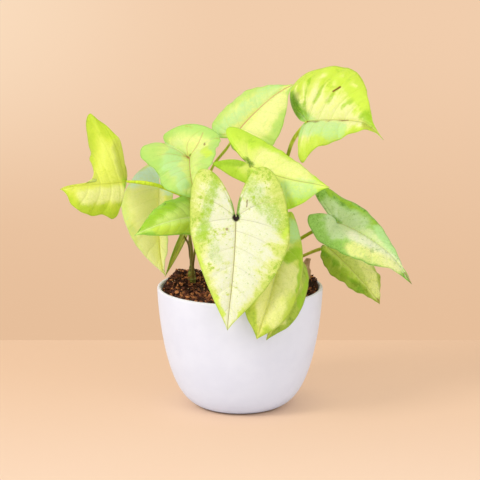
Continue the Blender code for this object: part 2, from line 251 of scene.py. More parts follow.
# Patches on a blade: its half, the line that each follows, its half-width in millimetres, its tone
# and its strength. A place on the blade is its share of the way out from the midrib and its share
# of the way down: 0 beside the notch, 0.16 at the lobe's end, about 0.3 level with the joint and 1
# at the tip.
PATCHES = {
    "front": (
        ("right", ((0.85, 0.14), (0.85, 0.45)), 4.5, "leaf", 0.6),
        ("right", ((0.6, 0.4), (0.5, 0.6)), 5, "leaf", 0.4),
        ("right", ((0.95, 0.5), (0.9, 0.9)), 2.4, "lime", 0.7),
        # Painted shade: a dark moss strip along the rolled margin beside the notch.
        ("right", ((0.4, 0.01), (0.9, 0.05)), 2.4, "moss", 1.0),
        ("left", ((0.9, 0.1), (0.85, 0.32)), 8, "leaf", 0.5),
        ("left", ((0.96, 0.35), (0.94, 0.9)), 2.2, "lime", 0.8),
        # Painted shade on the rolled margin beside the notch, as on the right half.
        ("left", ((0.4, 0.01), (0.9, 0.05)), 2.2, "moss", 1.0),
    ),
    "centre_right": (
        ("left", ((0.4, 0.4), (0.5, 0.75)), 9, "butter", 0.7),
        ("right", ((0.6, 0.5), (0.4, 0.85)), 8, "mint", 0.6),
        # Painted shadow of the front leaf: a green band across the lower half.
        ("right", ((0.4, 0.36), (0.9, 0.42)), 4, "leaf", 0.7),
        # Painted shade on the back lobe where it curls.
        ("right", ((0.5, 0.1), (0.9, 0.16)), 4.5, "leaf", 0.8),
        # Painted shade: a dark strip along the rolled margin beside the notch.
        ("left", ((0.3, 0.0), (0.95, 0.03)), 2.0, "dark", 0.9),
    ),
    "top_centre": (
        ("left", ((0.7, 0.2), (0.7, 0.85)), 6, "mint", 0.6),
        ("right", ((0.6, 0.3), (0.5, 0.8)), 8, "butter", 0.8),
    ),
    "top_right": (
        # Butter and green stripes between the side veins: pale streaks along the veins, with the
        # pleats' light and shade painted in.
        *(
            ("left", ((0.2, down), (0.8, down + 0.03)), 2.0, "butter", 0.8)
            for down in (0.15, 0.28, 0.4, 0.52)
        ),
        *(
            ("left", ((0.3, down), (0.75, down + 0.03)), 2.0, "leaf", 0.65)
            for down in (0.22, 0.34, 0.46, 0.6)
        ),
        ("left", ((0.94, 0.3), (0.94, 0.75)), 4.5, "lime", 1.0),
        # Painted shade in the fold near the tip.
        ("left", ((0.55, 0.8), (0.85, 0.92)), 5, "leaf", 0.8),
        # Painted shade on the back lobe, which turns away behind the top centre leaf.
        ("left", ((0.5, 0.05), (0.95, 0.12)), 6.5, "moss", 1.0),
        # Painted sheen: the lower half's pale mint is the sky reflected in its waxy skin.
        ("right", ((0.5, 0.2), (0.5, 0.65)), 10, "mint", 0.75),
        ("right", ((0.4, 0.02), (0.95, 0.12)), 2.4, "leaf", 1.0),
        ("right", ((0.4, 0.85), (0.2, 1.0)), 3, "olive", 0.8),
    ),
    "left_middle": (
        # The mint on this lobe is partly its own pale green and partly painted sheen, the sky
        # reflected in its waxy skin.
        ("right", ((0.7, 0.12), (0.6, 0.5)), 7, "mint", 0.85),
        ("right", ((0.5, 0.6), (0.5, 0.85)), 5, "mint", 0.8),
        ("left", ((0.6, 0.15), (0.6, 0.4)), 7, "butter", 0.5),
        # Painted shade in the hollow of the notch beside the joint.
        ("left", ((0.12, 0.33),), 1.6, "moss", 1.0),
        ("left", ((0.6, 0.5), (0.8, 0.6)), 3.4, "lime", 0.8),
        ("left", ((0.96, 0.2), (0.96, 0.4)), 1.2, "olive", 0.7),
    ),
    "far_left": (
        ("right", ((0.6, 0.14), (0.8, 0.26)), 8, "butter", 0.7),
        # Painted shade where the upper lobe folds.
        ("right", ((0.2, 0.3), (0.8, 0.29)), 6, "olive", 0.9),
        ("left", ((0.5, 0.4), (0.5, 0.8)), 6, "butter", 0.8),
        # Painted shade on the lower lobe's folded end.
        ("left", ((0.95, 0.12), (0.5, 0.1)), 4, "leaf", 0.9),
    ),
    "left_back": (
        # Painted sheen: the pale mint on the upper lobes is the sky reflected in their waxy skin.
        ("right", ((0.6, 0.1), (0.7, 0.24)), 9, "pale_mint", 1.0),
        ("left", ((0.6, 0.1), (0.7, 0.3)), 7, "pale_mint", 0.9),
        ("right", ((0.5, 0.4), (0.4, 0.9)), 11, "butter", 1.0),
    ),
    "left_low": (
        # Painted shadow of the far left leaf's stalk across the upper lobe.
        ("right", ((0.4, 0.08), (0.85, 0.2)), 6, "olive", 0.9),
        ("right", ((0.6, 0.5), (0.6, 0.9)), 5, "leaf", 0.7),
        ("left", ((0.6, 0.35), (0.5, 0.8)), 4, "lime", 0.8),
        ("left", ((0.2, 0.2), (0.4, 0.3)), 3, "butter", 0.6),
    ),
    "right_low_front": (
        # Painted sheen: the lobe's mint top is sky glare on its waxy skin.
        ("left", ((0.5, 0.1), (0.7, 0.2)), 9, "mint", 0.9),
        # Painted shadow of the front leaf.
        ("left", ((0.6, 0.32), (0.3, 0.42)), 5, "leaf", 1.0),
        ("left", ((0.6, 0.5), (0.5, 0.85)), 7, "butter", 0.7),
        ("left", ((0.97, 0.3), (0.97, 0.6)), 1.5, "leaf", 0.9),
        # Olive-green mottling, deepened where the front leaf's painted shadow falls.
        ("right", ((0.6, 0.45), (0.6, 0.7)), 5, "leaf", 0.9),
        ("right", ((0.4, 0.8), (0.2, 0.9)), 3, "butter", 0.7),
    ),
    "right_low_back": (
        ("left", ((0.9, 0.4), (0.9, 0.7)), 3, "leaf", 0.9),
        ("left", ((0.4, 0.6), (0.5, 0.85)), 4.5, "butter", 0.7),
    ),
    "right_upper": (
        ("left", ((0.6, 0.05), (0.94, 0.2)), 3, "leaf", 1.0),
        ("left", ((0.94, 0.22), (0.94, 0.55)), 2.6, "leaf", 0.9),
        # Sage and mint here are partly the leaf's grey-green and partly painted sheen, the sky
        # reflected in its waxy skin.
        ("left", ((0.5, 0.12), (0.45, 0.45)), 7, "sage", 0.85),
        ("left", ((0.8, 0.55), (0.7, 0.85)), 4, "mint", 0.8),
        ("right", ((0.3, 0.5), (0.4, 0.85)), 6, "cream", 0.7),
        ("right", ((0.75, 0.55), (0.7, 0.85)), 6, "butter", 0.7),
        # Sage, partly painted sheen as above.
        ("right", ((0.5, 0.12), (0.5, 0.4)), 7, "sage", 0.8),
        ("right", ((0.2, 0.0), (0.9, 0.04)), 2.4, "moss", 1.0),
    ),
    "right_lower": (
        ("left", ((0.4, 0.25), (0.5, 0.45)), 5.5, "sage", 0.7),
        ("left", ((0.6, 0.6), (0.4, 0.9)), 6, "butter", 0.7),
        ("right", ((0.3, 0.35), (0.4, 0.7)), 4.5, "lime", 0.5),
        ("right", ((0.9, 0.3), (0.9, 0.8)), 2.6, "moss", 0.6),
        ("left", ((0.0, 0.98), (0.0, 1.0)), 1.8, "bark", 0.8),
    ),
}

# Single marks, given in the same way: a near-black spot where the blade joins its stalk, scratches,
# nicks, and dark lines along folds, which are painted crease shade.
LINES = {
    "front": (
        ("right", ((0.0, 0.0),), 2.1, "black", 1.0),
        ("left", ((0.28, 0.2), (0.34, 0.17)), 0.5, "bark", 0.7),
        ("right", ((0.2, 0.42),), 0.8, "bark", 0.6),
    ),
    "top_right": (
        ("left", ((0.5, 0.45), (0.6, 0.48)), 0.6, "bark", 1.0),
        ("right", ((0.0, 0.32), (0.0, 0.7)), 0.6, "bark", 0.7),
    ),
    "left_middle": (
        ("right", ((0.0, 0.3), (0.85, 0.06)), 0.6, "rose", 0.7),
        ("right", ((0.0, 0.3), (0.8, 0.2)), 0.5, "rose", 0.5),
        ("left", ((0.05, 0.35), (0.5, 0.3), (0.8, 0.27)), 0.45, "rose", 0.5),
        ("left", ((0.6, 0.4),), 0.7, "bark", 0.7),
    ),
    "far_left": (("left", ((0.5, 0.1), (0.1, 0.2)), 0.7, "bark", 0.6),),
    "left_low": (("right", ((0.9, 0.5), (0.9, 0.95)), 0.6, "dark", 0.6),),
    "right_upper": (("left", ((0.0, 0.93), (0.0, 1.0)), 0.6, "bark", 0.6),),
}

# Crown stems, each with its place and radius, and the places that each stalk runs through from its
# crown stem to its blade's joint.
CROWNS = {"left": (-37, 22, 3.9), "middle": (3, 8, 5.2), "right": (22, 0, 4.6)}
STALKS = {
    "left_middle": ("left", ((-37, 23, 116), (-39, 22, 132), (-38, 16, 155), (-37, 10, 175))),
    "left_back": (
        "left",
        ((-39, 37, 117), (-39, 42, 130), (-46, 43, 143), (-55, 35, 153), (-60, 22, 158)),
    ),
    "left_low": ("left", ((-33, 10, 123), (-31, -10, 138))),
    "young": ("left", ((-38.5, 29, 108), (-39.5, 31, 117))),
    "front": ("middle", ((4, -6, 126), (3, -24, 141), (0, -42, 151))),
    "centre_right": ("middle", ((10, 4, 132), (13, -4, 158), (12, -15, 177))),
    "top_centre": (
        "middle",
        ((-12, 12, 121), (-24, 12, 140), (-26, 8, 163), (-20, 3, 183), (-10, 4, 196)),
    ),
    "top_right": (
        "middle",
        ((12, 16, 124), (24, 20, 154), (35, 20, 185), (39, 18, 198), (44, 15, 207)),
    ),
    "far_left": (
        "middle",
        (
            (-9, 3, 126), (-20, -2, 147), (-30, -8, 158),
            (-44, -12, 164), (-59, -16, 171), (-71, -18, 174),
        ),
    ),
    "right_low_front": ("right", ((21, -12, 120), (24, -25, 128))),
    "right_low_back": ("right", ((28, -10, 112), (34, -20, 119))),
    "right_upper": ("right", ((27, -1, 115), (43, -2, 127), (57, -5, 136), (67, -7, 141))),
    "right_lower": ("right", ((33, 9, 107), (46, 10, 112), (57, 9, 117))),
}
SHEATH = ((51, 10, 78), (51, 10, 92), (51, 10, 99), (50, 10, 105), (52, 9, 110.5))

# Each stalk's colour by its blade and lower down, the heights between which it changes from one
# to the other, and its girth.
Skin = namedtuple("Skin", "upper lower low high girth")
PLAIN_SKIN = Skin("#b9bd34", "#8f8c34", 100, 130, 0.85)
SKINS = {
    "front": Skin("#b8c832", "#9aa030", 110, 140, 1.0),
    "centre_right": Skin("#c8d23c", "#a3aa30", 130, 170, 0.9),
    "top_centre": Skin("#d9df4a", "#b2b42c", 150, 185, 0.72),
    "top_right": Skin("#dde84a", "#a3b21e", 190, 198, 1.0),
    "far_left": Skin("#d8ee34", "#cbd816", 150, 168, 1.0),
    "left_middle": Skin("#a3a03c", "#8a7a38", 108, 140, 0.66),
    "left_back": Skin("#a3a03c", "#8a7a38", 108, 140, 0.6),
    "left_low": Skin("#a8ac3c", "#8a7a38", 108, 140, 0.66),
    "right_upper": Skin("#a8b000", "#b0b60c", 120, 135, 1.0),
    "right_lower": Skin("#ccc83c", "#c0bc34", 110, 118, 0.85),
    "young": Skin("#8f7a3c", "#80683a", 108, 140, 0.5),
}

# Low heaps in the mix: place, height and half-width.
HEAPS = (
    ((-46, 32), 9.5, 11),
    ((-35, 43), 7.0, 9),
    ((51, 18), 8.5, 10),
    ((56, 5), 7.5, 10),
    ((-53, 17), 6.5, 11),
    ((-20, 52), 2.6, 14),
    ((20, 52), 2.6, 14),
    ((-37, 22), 1.8, 8),
    ((3, 8), 1.6, 10),
    ((22, 0), 1.4, 9),
)

# How finely a blade is meshed: rows that fan out from its joint, rows along its midrib, columns.
FAN_ROWS = 44
RIB_ROWS = 96
COLUMNS = 26
FAN_LEAST, FAN_MOST = 0.12, 0.75    # the fan's share of the way from the joint round to the tip
NORMAL_PASSES = 30
BLADE_THICKNESS = 0.42
FULL_WIDTH = 18    # mm; a narrower row swells less between its veins
VEINS = 9.0    # side veins on each half
VEIN_BEND = 0.05    # how far they run on towards the tip, as a share of the blade
THROUGH = (1.0, 0.25, 1.0)    # how much each axis counts in the distance from a drawn line
BLEND = 0.10    # the share of the way along over which lobes and blade run into each other
TAIL = 0.14    # the least half-width of a narrowing half
NOTCH_GAP = 0.03    # keeps the lobes' inner edges apart
LOBE_TURN = 1.5    # how late a lobe turns aside to its own end
HOOK_LENGTH = 0.25    # the share of the blade that its tip's hook bends

# Stalks: wide at the sheathing foot, slender above it, with a small knee under the blade.
STALK_RADII = (2.5, 2.2, 1.7, 1.55, 1.5, 1.45, 1.4, 1.35, 1.45, 1.6, 0.9)
SHEATH_RADII = (2.6, 2.7, 2.6, 2.5, 2.9, 2.7, 2.9, 2.5, 1.9)
TUBE_STEP = 2.0
FOOT_SPREAD, FOOT_HEIGHT = 0.45, 88.0    # the foot's place between the crown's axis and its side
RISE_SHARE, RISE_HEIGHT = 0.12, 104.0    # the stalk is still nearly upright here

# Crown stems, and the old leaf scars that ring them.
STEM_LOW, STEM_HIGH = 74.0, 103.0
SCAR_STEP = 4.2

# Chips and grains lie within this reach of the axis, and none sticks out past the mix.
STREWN_RADIUS, MIX_RADIUS = 58.8, 59.4
CHIP_BATCH = 60

# The table and the lamps, in metres.
TABLE_SIZE = (3.2, 2.6, 0.03)
TABLE_FAR = 0.19
LIGHT_AIM = (0, 0, 0.12)


# ---------------------------------------------------------------- node and mesh helpers

# Short names for settings that come back: the node's type, its settings, the inputs that the
# values go to and the output that is read. Any other node goes by its type, and a Math node by
# its operation.
PRESETS = {
    "mix": ("Mix", {"data_type": "RGBA"}, (0, 6, 7), 2),
    "step": (
        "MapRange", {"interpolation_type": "SMOOTHSTEP"}, ("Value", "From Min", "From Max"), 0
    ),
    "noise": (
        "TexNoise", {"noise_dimensions": "4D"}, ("Vector", "Scale", "Detail", "Roughness", "W"), 0
    ),
    "cells": ("TexVoronoi", {"feature": "DISTANCE_TO_EDGE"}, ("Vector", "Scale"), 0),
    "stretch": ("Mapping", {}, ("Vector", "Scale"), 0),
    "scale": ("VectorMath", {"operation": "SCALE"}, (0, "Scale"), 0),
    "shifted": ("VectorMath", {"operation": "MULTIPLY_ADD"}, (0, 1, 2), 0),
    "offset": ("VectorMath", {"operation": "SUBTRACT"}, (0, 1), 0),
    "dot": ("VectorMath", {"operation": "DOT_PRODUCT"}, (0, 1), "Value"),
    "length": ("VectorMath", {"operation": "LENGTH"}, (0,), "Value"),
    "bump": ("Bump", {}, ("Height", "Distance", "Strength"), 0),
}


def add_node(tree, kind, *values, output=0, **settings):
    """Adds a node with its settings, links or sets its inputs, and gives the output to read."""
    if kind.isupper():
        kind, settings = "Math", {"operation": kind}
    kind, preset, inputs, output = PRESETS.get(kind, (kind, {}, range(len(values)), output))
    made = tree.nodes.new("ShaderNode" + kind)
    for name, value in {**preset, **settings}.items():
        setattr(made, name, value)
    for name, value in zip(inputs, values):
        if isinstance(value, bpy.types.NodeSocket):
            tree.links.new(value, made.inputs[name])
        else:
            made.inputs[name].default_value = value
    return made.outputs[output]


def colour(text):
    """An sRGB hex colour as linear RGBA."""
    parts = [int(text[i:i + 2], 16) / 255 for i in (1, 3, 5)]
    return (*[c / 12.92 if c <= 0.04045 else ((c + 0.055) / 1.055) ** 2.4 for c in parts], 1.0)


def tinted(add, base, tone, mask, share=1.0):
    """The base with this share of a tone over it where the mask is 1."""
    return add("mix", add("MULTIPLY", mask, share), base, colour(tone))


def weighed(add, total, *parts):
    """The total and each part at its own weight."""
    for part, weight in parts:
        total = add("MULTIPLY_ADD", part, weight, total)
    return total


def set_stops(ramp, first, last, *between):
    """Gives a colour ramp its first and last tones, and the ones between them at their places."""
    elements = ramp.node.color_ramp.elements
    elements[0].color, elements[1].color = colour(first), colour(last)
    for position, tone in between:
        elements.new(position).color = colour(tone)


def millimetres(add):
    """The place on the model in millimetres."""
    return add("scale", add("TexCoord", output="Object"), 1 / MM)


def new_material(name, **values):
    """A material, its shader with these values on its own sockets, and add_node for its tree."""
    material = bpy.data.materials.new(name)
    material.use_nodes = True
    shader = material.node_tree.nodes["Principled BSDF"]
    for socket, value in values.items():
        shader.inputs[socket.replace("_", " ")].default_value = value
    return material, shader, partial(add_node, material.node_tree)


def finish_shader(add, shader, base, roughness, height, depth_mm, strength):
    link = shader.id_data.links.new
    link(base, shader.inputs["Base Color"])
    if roughness is not None:
        link(roughness, shader.inputs["Roughness"])
    link(add("bump", height, depth_mm * MM, strength), shader.inputs["Normal"])


def new_object(name, data):
    """A new object in the scene."""
    thing = bpy.data.objects.new(name, data)
    bpy.context.scene.collection.objects.link(thing)
    return thing


def mesh_from(work, name, smooth=True):
    mesh = bpy.data.meshes.new(name)
    work.to_mesh(mesh)
    work.free()
    if smooth:
        mesh.shade_smooth()
    return mesh


def place_mesh(name, work, materials, slot, *nodes, smooth=True):
    """A finished piece with its materials, riding on the plant and standing for these nodes."""
    piece = new_object(name, mesh_from(work, name, smooth))
    for material in materials:
        piece.data.materials.append(material)
    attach(piece, "root")
    if nodes:
        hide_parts(*nodes)
    return piece


def through(points, steps=24):
    """Dense points on a smooth curve through the given ones, and the share of it walked at each."""
    given = np.array(points, float)
    ends = np.concatenate([[2 * given[0] - given[1]], given, [2 * given[-1] - given[-2]]])
    dense = []
    for before, start, end, after in zip(ends, ends[1:], ends[2:], ends[3:]):
        for t in np.arange(steps) / steps:
            dense.append(
                0.5 * (
                    2 * start
                    + (end - before) * t
                    + (2 * before - 5 * start + 4 * end - after) * t**2
                    + (3 * start - before - 3 * end + after) * t**3
                )
            )
    dense = np.array(dense + [given[-1]])
    walked = np.concatenate([[0.0], np.cumsum(np.linalg.norm(np.diff(dense, axis=0), axis=1))])
    return dense, walked / walked[-1]


def read(curve, shares):
    dense, walked = curve
    return np.stack([np.interp(shares, walked, dense[:, axis]) for axis in range(3)], axis=-1)


def unit(vectors):
    return vectors / np.maximum(np.linalg.norm(vectors, axis=-1, keepdims=True), 1e-9)


# ---------------------------------------------------------------- leaf blades


def soft_step(value):
    """Zero well below zero and the value well above it, with a smooth turn between."""
    return (value + np.sqrt(value * value + BLEND * BLEND)) / 2


def outline(side, along):
    """The inner and outer shares of the half-width: along is 1 at the lobe's end, -1 at the tip."""
    back, ahead = np.clip(along, 0, 1), np.clip(-along, 0, 1)
    inner = np.maximum(side.root * (1 - np.sqrt(1 - back**side.notch)), NOTCH_GAP * back)
    outer = side.root + (1 - side.root) * np.sqrt(1 - back**side.fullness)
    gone = np.minimum(ahead / side.stop, 1)
    taper = np.maximum((1 - gone**side.taper) * (1 - 0.3 * gone**6), TAIL * np.sqrt(1 - ahead))
    return np.where(along < 0, 0.0, inner), np.where(along < 0, taper, outer)


def lobe_reach(leaf, side):
    """How far the lobe's end lies behind the joint, beyond its share of the way out."""
    return side.lobe - leaf.joint - side.root * (side.edge - leaf.joint)


def spine(leaf, along):
    """Places on the midrib or, behind the joint, on the line that the two lobes share."""
    control = 2 * leaf.middle - (leaf.joint + leaf.tip) / 2 - leaf.joint
    reach = leaf.tip - leaf.joint
    back = sum(lobe_reach(leaf, side) for side in leaf.halves) / 2

    def turned_out(place):
        share = soft_step(-place)
        return soft_step(place) * back + 2 * share * (1 - share) * control + share**2 * reach

    start, end = turned_out(0.0), turned_out(-1.0)
    return turned_out(along) - start + np.maximum(0.0, -along) ** 2 * (reach - end + start)


def blade_places(leaf, side, across, along, hook):
    """Places that are this share of the half-width out and this far along, with the tip's hook."""
    across, along = np.reshape(across, (-1, 1)), np.reshape(along, (-1, 1))
    places = leaf.joint + across * (side.edge - leaf.joint) + spine(leaf, along)
    aside = np.maximum(0.0, along) ** LOBE_TURN
    bent = np.clip(1 - (1 + along) / HOOK_LENGTH, 0, 1) ** 2
    places = places + aside * (lobe_reach(leaf, side) - spine(leaf, 1.0))
    return places + bent * np.array(hook, float)


def rib_and_margin(leaf, side, hook):
    """The midrib, and the margin from the joint round the lobe to the tip."""
    behind = np.sin(np.pi / 2 * np.linspace(0, 1, 9))
    ahead = -np.linspace(0, 1, 17)
    rib = blade_places(leaf, side, 0 * ahead, ahead, hook)
    notch = blade_places(leaf, side, outline(side, behind)[0], behind, hook)
    outside = np.concatenate([behind[-2:0:-1], ahead])
    rim = blade_places(leaf, side, outline(side, outside)[1], outside, hook)
    return rib, np.concatenate([notch[1:], rim[:-1]])


def blade_half(leaf, side, finish, seed):
    """The places of one half's rows and columns, its upward normal and its sizes in millimetres.

    The first rows fan out from the joint into the lobe, the others leave the midrib.
    """
    rib, margin = rib_and_margin(leaf, side, finish.hook)
    joint, tip = rib[0], rib[-1]
    length = np.linalg.norm(tip - joint)
    axis = (tip - joint) / length
    edge = through([joint, *margin, tip])
    shares = np.linspace(0, 1, 400)
    behind = (read(edge, shares) - joint) @ axis < 0.03 * length
    turn = shares[np.nonzero(behind)[0][-1]]
    turn = min(max(turn, FAN_LEAST), FAN_MOST)
    fan = turn * np.linspace(0, 1, FAN_ROWS + 1)
    on_rib = np.linspace(0, 1, RIB_ROWS + 1)[1:]
    outer = read(edge, np.concatenate([fan, turn + (1 - turn) * on_rib]))
    inner = read(through(rib), np.concatenate([0 * fan, on_rib**1.25]))
    spread = outer - inner
    width = np.linalg.norm(spread, axis=1)
    normal = unit(np.cross(axis, spread))
    if normal[len(normal) // 2] @ (0.0, -0.9, 0.45) < 0:
        normal = -normal
    normal[0], normal[-1] = normal[1], normal[-2]
    for _ in range(NORMAL_PASSES):
        normal[1:-1] = unit(normal[:-2] + 2 * normal[1:-1] + normal[2:])
    rows = np.linspace(0, 1, len(outer))
    across = np.linspace(0, 1, COLUMNS + 1)[None, :, None]
    puff = finish.bulge * 4 * across * (1 - across) * (width / width.max())[:, None, None]
    # The blade rises between its side veins, and its margin waves.
    turned_rows = (rows[:, None, None] - VEIN_BEND * across**2) * VEINS
    ridge = np.sin(np.pi * np.abs(turned_rows - np.round(turned_rows)))
    full = np.minimum(1, width / FULL_WIDTH)[:, None, None]
    ridge = ridge * np.sin(np.pi * across) ** 0.6 * full
    waves, shift = 2 * np.pi * rows, 2 * np.pi * seed
    ripple = np.sin(5.0 * waves + shift) + 0.6 * np.sin(11.0 * waves + 2.3 * shift)
    ripple = (ripple * np.sin(np.pi * rows) ** 0.5)[:, None, None] * finish.wave * across**2.5
    places = inner[:, None] + spread[:, None] * across
    x, z = places[..., :1], places[..., 2:]
    sway = np.sin(x / 8 + z / 13 + 9 * seed) + 0.7 * np.sin(z / 6 - x / 10 + 17 * seed)
    sway = 0.4 * sway * np.sin(np.pi * across) ** 0.7 * full
    places = places + normal[:, None] * (puff + finish.quilt * ridge + ripple + sway)
    along_step = np.gradient(places, axis=0) * (len(outer) - 1)
    across_step = unit(np.gradient(places, axis=1))
    row = np.linalg.norm(np.cross(along_step, across_step), axis=-1)
    reach = across[..., 0] * width[:, None]
    sizes = np.stack([reach, width[:, None] - reach, row], axis=-1)
    return places, normal, sizes


def nearest_on(line, places):
    """How far each place is from a line through these points."""
    points = [np.array(point, float) for point in line]
    best = np.linalg.norm(places - points[0], axis=-1)
    for start, end in zip(points, points[1:]):
        along = end - start
        share = np.clip((places - start) @ along / (along @ along), 0, 1)
        best = np.minimum(best, np.linalg.norm(places - start - share[..., None] * along, axis=-1))
    return best


def painted(places, patches):
    """The patches' colour at each place and how far they cover it. Their borders wander."""
    shift = [noise.noise_vector(Vector(place) / 6.0) for place in places.reshape(-1, 3)]
    places = places + 2.0 * np.array(shift).reshape(places.shape)
    tint, cover = np.zeros(places.shape), np.zeros(places.shape[:-1])
    for line, width, tone, strength in patches:
        away = nearest_on(line, places) / width
        share = np.clip(1.5 - away, 0, 1)
        share = np.maximum(strength * share * share * (3 - 2 * share), 1e-4 * np.exp(-away))
        tint = tint * (1 - share[..., None]) + share[..., None] * np.array(colour(tone)[:3])
        cover = cover * (1 - share) + share
    return tint / np.maximum(cover, 1e-9)[..., None], cover


def placed(halves, marks):
    """Marks with their places worked out from the half, the shares out and the shares down."""
    found = []
    for half_name, line, width, tone, strength in marks:
        places = halves[half_name][0]
        last_row, last_column = places.shape[0] - 1, places.shape[1] - 1
        points = [places[round(down * last_row), round(out * last_column)] for out, down in line]
        found.append((points, width, TONES[tone], strength))
    return found


def add_half(work, layers, half_grid, patches, side):
    """Adds one half to the blade as a grid, with its map of shares across and along."""
    places, normal, sizes = half_grid
    tint, cover = painted(places, patches)
    rows = FAN_ROWS + RIB_ROWS
    grid = bmesh.ops.create_grid(work, x_segments=COLUMNS, y_segments=rows, size=1.0)
    faces = {face for vertex in grid["verts"] for face in vertex.link_faces}
    for face in faces:
        for loop in face.loops:
            x, y = loop.vert.co.x, loop.vert.co.y
            loop[layers["map"]].uv = (side * (x + 1) / 2, (y + 1) / 2)
    for vertex in grid["verts"]:
        column = round((vertex.co.x + 1) / 2 * COLUMNS)
        row = round((vertex.co.y + 1) / 2 * rows)
        vertex.co = Vector(places[row, column]) * MM
        vertex[layers["sizes"]] = Vector(sizes[row, column])
        vertex[layers["tint"]] = (*tint[row, column], 1.0)
        vertex[layers["cover"]] = cover[row, column]
    middle = max(faces, key=lambda face: face.calc_area())
    middle.normal_update()
    up = Vector(normal[len(normal) // 2])
    if middle.normal.dot(up) < 0:
        bmesh.ops.reverse_faces(work, faces=list(faces))


def make_blade(name, halves, materials):
    work = bmesh.new()
    layers = {
        "map": work.loops.layers.uv.new("blade"),
        "sizes": work.verts.layers.float_vector.new("sizes"),
        "tint": work.verts.layers.float_color.new("tint"),
        "cover": work.verts.layers.float.new("cover"),
    }
    patches = placed(halves, PATCHES.get(name, ()))
    add_half(work, layers, halves["right"], patches, -1)
    add_half(work, layers, halves["left"], patches, 1)
    bmesh.ops.remove_doubles(work, verts=work.verts, dist=0.0001 * MM)
    piece = place_mesh("blade_" + name, work, materials, "blade_lime", "leaf_" + name)
    skin = piece.modifiers.new("thickness", "SOLIDIFY")
    skin.thickness = BLADE_THICKNESS * MM
    skin.offset = -1.0
    skin.material_offset = 1
    skin.material_offset_rim = 1


def patched(add, base, mottle, fine):
    """The base colour under the blade's patches, whose borders break up into small islands."""
    cover = add("Attribute", output="Fac", attribute_name="cover")
    tint = add("Attribute", output="Color", attribute_name="tint")
    ragged = weighed(add, cover, (mottle, 1.3), (fine, 0.9))
    share = add("MULTIPLY", add("step", ragged, 0.16, 0.80), 0.6)
    return add("mix", weighed(add, share, (cover, 0.36)), base, tint)


def lined(add, base, place, lines, mottle, fine):
    """The base colour with the blade's own veins and scratches drawn on it, and its folds as lines
    of painted shade.

    Depth counts for a quarter, so that a line's straight chords also mark a puffed-up blade.
    """
    place = add("shifted", place, THROUGH, add("MULTIPLY", mottle, 1.6))
    for line, width, tone, strength in lines:
        away = None
        sharp = 0.9 if len(line) == 1 else 0.2
        line = [Vector(point) * Vector(THROUGH) for point in line]
        for start, end in zip(line, line[1:] or line):
            offset = add("offset", place, start)
            along = end - start
            if along.length > 0:
                share = add("Clamp", add("dot", offset, along / along.length_squared))
                offset = add("offset", offset, add("scale", tuple(along), share))
            reach = add("length", offset)
            away = reach if away is None else add("MINIMUM", away, reach)
        away = weighed(add, away, (fine, -0.5 * width))
        base = tinted(add, base, tone, add("step", away, 1.6 * width, sharp * width), strength)
    return base


